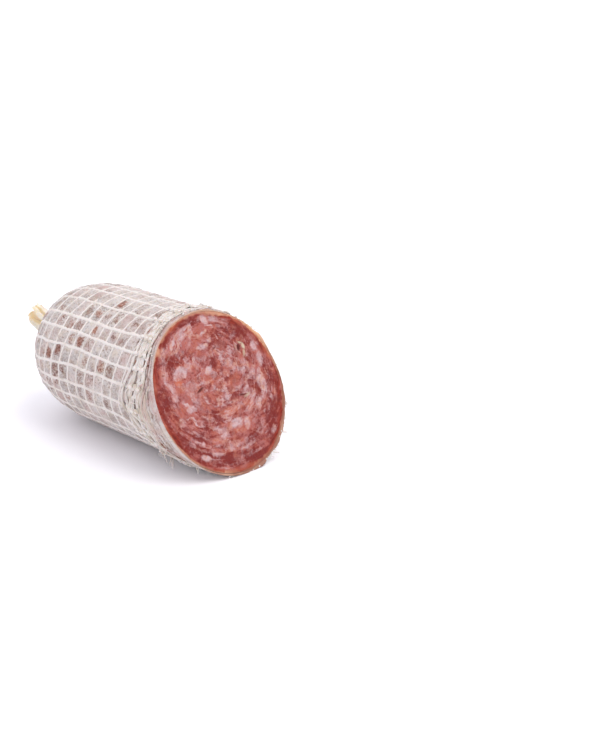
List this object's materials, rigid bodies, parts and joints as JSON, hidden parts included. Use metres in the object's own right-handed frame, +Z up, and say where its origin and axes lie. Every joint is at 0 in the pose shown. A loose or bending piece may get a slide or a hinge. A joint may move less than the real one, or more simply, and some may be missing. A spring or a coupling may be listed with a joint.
{
  "type": "country salami",
  "caption": "Cut half of a large dry-cured salami in a white-moulded gut casing and knitted string net, with a slanted cut face and a tied, tufted end.",
  "frame": {"origin": "middle of the underside, on the surface that the salami lies on", "axes": "+X along the body towards the cut face, +Z up"},
  "size_m": [0.2172, 0.107, 0.1036],
  "materials": {
    "meat": "coarse cured meat with pink fat, moist and slightly glossy",
    "casing": "gut skin under dry, powdery white mould; amber where it is bare",
    "net": "knitted cotton string, matt off-white"
  },
  "bodies": {
    "root": {"meat": "meat", "casing": "casing", "net": "net"}
  },
  "joints": []
}
